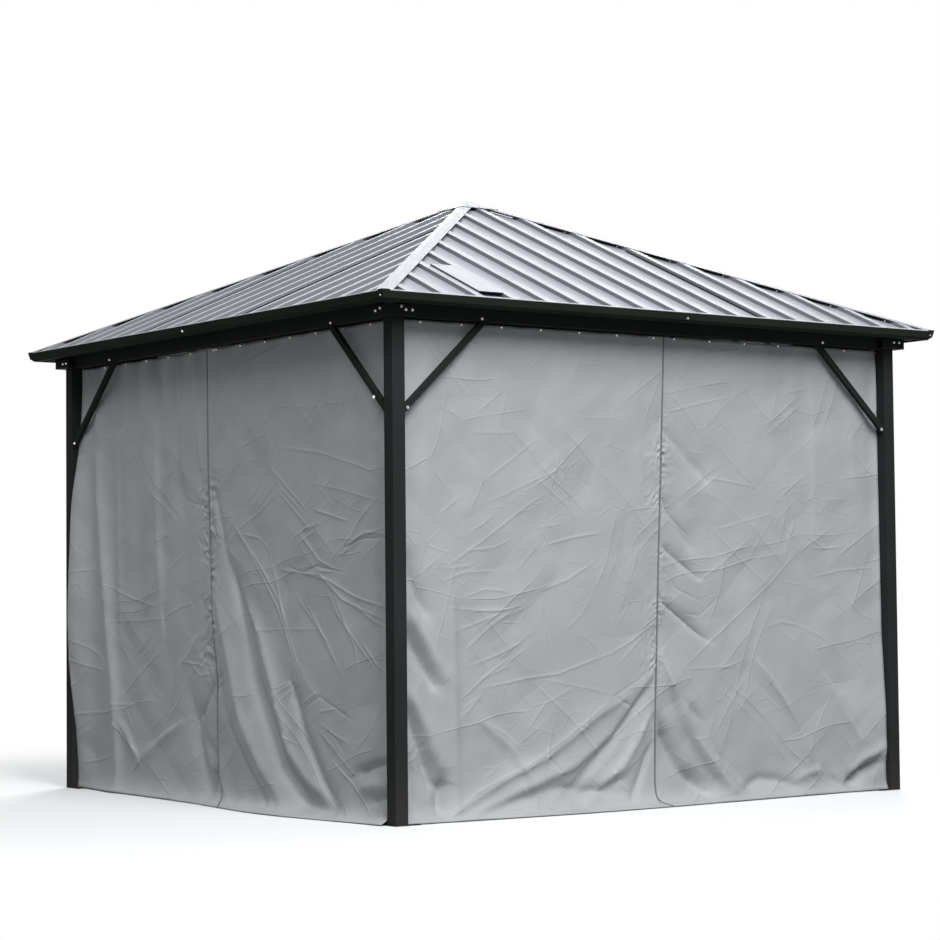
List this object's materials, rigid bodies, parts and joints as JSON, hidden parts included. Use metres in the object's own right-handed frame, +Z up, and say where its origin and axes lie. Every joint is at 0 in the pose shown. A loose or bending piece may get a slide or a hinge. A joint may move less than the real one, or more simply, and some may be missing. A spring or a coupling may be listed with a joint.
{
  "type": "garden pavilion",
  "caption": "Square garden pavilion with a ribbed steel pyramid roof on a dark metal frame, knee braces at the posts and grey curtains hung round all sides.",
  "frame": {"origin": "on the ground at the middle of the square plan", "axes": "+Z up, -Y towards the front side, -X towards the left side"},
  "size_m": [3.0704, 3.0704, 2.776],
  "materials": {
    "frame_metal": "satin charcoal powder coat",
    "roof_steel": "light grey coated steel sheet",
    "curtain_cloth": "grey polyester cloth, creased",
    "zinc_steel": "zinc plated"
  },
  "bodies": {
    "root": {"foot_plates": "frame_metal", "post_front_left": "frame_metal", "post_front_right": "frame_metal", "post_back_right": "frame_metal", "post_back_left": "frame_metal", "beam_front": "frame_metal", "beam_right": "frame_metal", "beam_back": "frame_metal", "beam_left": "frame_metal", "corner_bracket_front_left": "frame_metal", "corner_bracket_front_right": "frame_metal", "corner_bracket_back_right": "frame_metal", "corner_bracket_back_left": "frame_metal", "knee_braces_front_left": "frame_metal", "knee_braces_front_right": "frame_metal", "knee_braces_back_right": "frame_metal", "knee_braces_back_left": "frame_metal", "hip_rafter_front_left": "frame_metal", "hip_rafter_front_right": "frame_metal", "hip_rafter_back_right": "frame_metal", "hip_rafter_back_left": "frame_metal", "crown_block": "zinc_steel", "fascia_front": "frame_metal", "fascia_right": "frame_metal", "fascia_back": "frame_metal", "fascia_left": "frame_metal", "eave_corner_covers": "frame_metal", "roof_face_front": "roof_steel", "roof_face_right": "roof_steel", "roof_face_back": "roof_steel", "roof_face_left": "roof_steel", "hip_cap_front_left": "roof_steel", "hip_cap_front_right": "roof_steel", "hip_cap_back_right": "roof_steel", "hip_cap_back_left": "roof_steel", "top_cap": "roof_steel", "roof_cover_plate": "roof_steel", "curtain_front_left": "curtain_cloth", "curtain_front_right": "curtain_cloth", "curtain_right_front": "curtain_cloth", "curtain_right_back": "curtain_cloth", "curtain_back_right": "curtain_cloth", "curtain_back_left": "curtain_cloth", "curtain_left_back": "curtain_cloth", "curtain_left_front": "curtain_cloth"}
  },
  "joints": []
}
